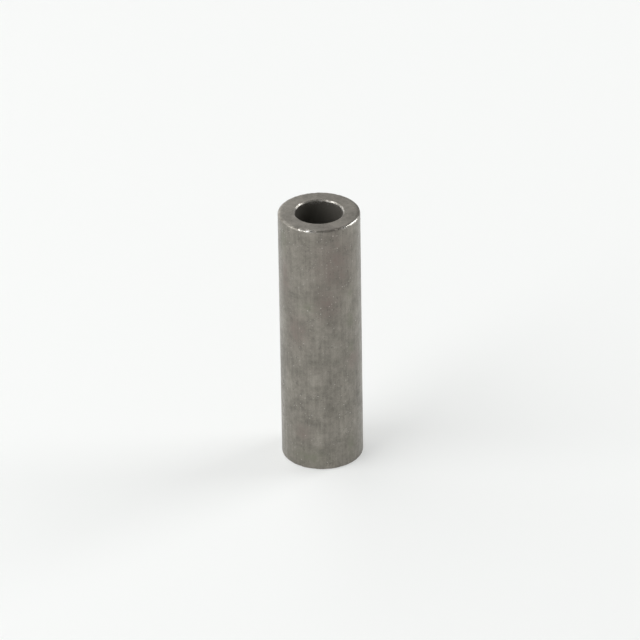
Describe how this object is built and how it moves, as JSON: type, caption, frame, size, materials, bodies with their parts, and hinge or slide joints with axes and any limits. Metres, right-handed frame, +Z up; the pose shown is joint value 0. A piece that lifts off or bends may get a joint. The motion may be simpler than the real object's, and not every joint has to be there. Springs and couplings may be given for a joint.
{
  "type": "spacer sleeve",
  "caption": "Plain round steel spacer sleeve: a thick-walled tube with a through bore, square ends and broken rims.",
  "frame": {"origin": "centre of the lower end face, where the sleeve stands", "axes": "+Z up the bore axis, from the lower end face to the upper one; X and Y are square to the bore, and the sleeve is the same all round"},
  "size_m": [0.019, 0.019, 0.0635],
  "materials": {
    "sleeve_steel": "dull grey steel with a cloudy mottled surface and bright worn rims"
  },
  "bodies": {
    "root": {"spacer_sleeve": "sleeve_steel"}
  },
  "joints": []
}
